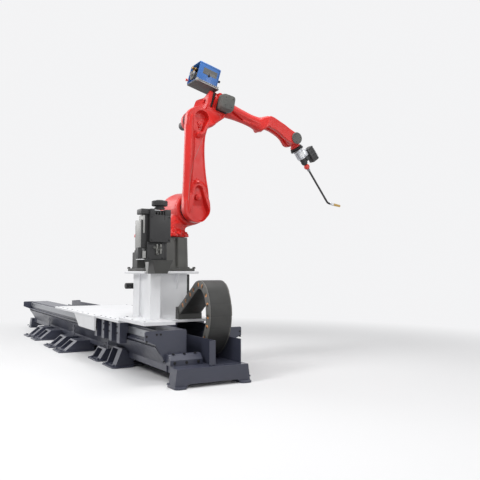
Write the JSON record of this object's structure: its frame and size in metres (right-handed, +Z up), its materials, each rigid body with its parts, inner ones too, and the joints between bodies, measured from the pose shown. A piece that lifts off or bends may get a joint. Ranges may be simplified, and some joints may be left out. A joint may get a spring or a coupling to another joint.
{
  "type": "welding robot on floor rail",
  "caption": "Jointed welding robot arm with torch and wire feeder on a carriage that travels along a floor rail, with energy chain and torch cleaner.",
  "frame": {"origin": "centre of the sole of the first floor foot behind the near rail module, on the floor", "axes": "+X along the rail to its near end, +Y the way the robot reaches at rest, +Z up"},
  "size_m": [5.1292, 2.4617, 2.6293],
  "materials": {
    "red_paint": "smooth satin red casting paint",
    "dark_paint": "satin dark grey paint",
    "cover_plastic": "matte grey moulded covers",
    "white_paint": "white powder coat on welded plate",
    "rail_paint": "blue-grey powder coat on welded steel",
    "machined_steel": "ground steel",
    "chain_plastic": "matte glass-filled plastic links",
    "blue_paint": "satin blue sheet housing",
    "black_plastic": "matte black",
    "silver_metal": "turned aluminium",
    "brass": "drawn brass, slightly tarnished",
    "ball_red": "gloss red"
  },
  "bodies": {
    "rail": {"rail_module_1": "rail_paint", "rail_module_2": "rail_paint", "rail_module_3": "rail_paint", "rail_module_4": "rail_paint", "left_guide": "machined_steel", "right_guide": "machined_steel", "near_end_plate": "rail_paint", "far_end_plate": "rail_paint", "foot_1a": "rail_paint", "foot_1b": "rail_paint", "foot_2a": "rail_paint", "foot_2b": "rail_paint", "foot_3a": "rail_paint", "foot_3b": "rail_paint", "near_end_foot": "rail_paint", "far_end_foot": "rail_paint", "stop_block": "rail_paint", "channel_floor": "rail_paint", "channel_left_wall": "rail_paint", "channel_right_wall": "rail_paint"},
    "carriage": {"left_saddle": "rail_paint", "right_saddle": "rail_paint", "main_deck": "white_paint", "front_plate": "white_paint", "rear_deck": "white_paint", "deck_bracket": "rail_paint", "riser_column": "white_paint", "cable_duct": "black_plastic", "travel_drive": "black_plastic", "cleaner_post": "white_paint", "cleaner_tray": "dark_paint", "cleaner_body": "black_plastic", "cleaner_clamp": "dark_paint", "cleaner_side_unit": "dark_paint", "energy_chain": "chain_plastic", "chain_bracket": "dark_paint", "robot_base": "dark_paint", "connector_panel": "black_plastic"},
    "column": {"turning_column": "red_paint", "turning_motor": "black_plastic", "shoulder_motor": "black_plastic"},
    "lower_arm": {"lower_arm": "red_paint"},
    "elbow": {"elbow_casting": "red_paint", "elbow_motor_cover": "cover_plastic", "elbow_motor": "black_plastic", "feeder_plate": "dark_paint", "feeder_case": "blue_paint", "feeder_reel": "cover_plastic"},
    "forearm": {"forearm": "red_paint", "near_wrist_cover": "cover_plastic", "far_wrist_cover": "cover_plastic"},
    "wrist": {"wrist_body": "red_paint"},
    "tool": {"tool_flange": "machined_steel", "torch_body": "silver_metal", "torch_clamp": "black_plastic", "torch_motor": "black_plastic", "safety_ball": "ball_red", "torch_neck": "dark_paint", "gas_nozzle": "silver_metal", "nozzle_tip": "brass"}
  },
  "joints": [
    {"name": "rail_travel", "type": "slide", "parent": "rail", "child": "carriage", "axis": [-1, 0, 0], "range_m": [0, 2]},
    {"name": "j1_turn", "type": "hinge", "parent": "carriage", "child": "column", "pos_m": [0.275, 0, 1.07], "axis": [0, 0, 1], "range_deg": [-165, 165]},
    {"name": "j2_shoulder", "type": "hinge", "parent": "column", "child": "lower_arm", "pos_m": [0.275, 0.195, 1.305], "axis": [-1, 0, 0], "range_deg": [-80, 50]},
    {"name": "j3_elbow", "type": "hinge", "parent": "lower_arm", "child": "elbow", "pos_m": [0.275, 0.195, 2.05], "axis": [1, 0, 0], "range_deg": [-60, 105]},
    {"name": "j4_forearm_roll", "type": "hinge", "parent": "elbow", "child": "forearm", "pos_m": [0.275, 0.27522, 2.34323], "axis": [0, 0.9646, -0.2639], "range_deg": [-170, 170]},
    {"name": "j5_wrist_bend", "type": "hinge", "parent": "forearm", "child": "wrist", "pos_m": [0.275, 1.33623, 2.05297], "axis": [1, 0, 0], "range_deg": [-74, 136]},
    {"name": "j6_tool_roll", "type": "hinge", "parent": "wrist", "child": "tool", "pos_m": [0.275, 1.33623, 2.05297], "axis": [0, 0.592, -0.8059], "range_deg": [-360, 360]}
  ]
}
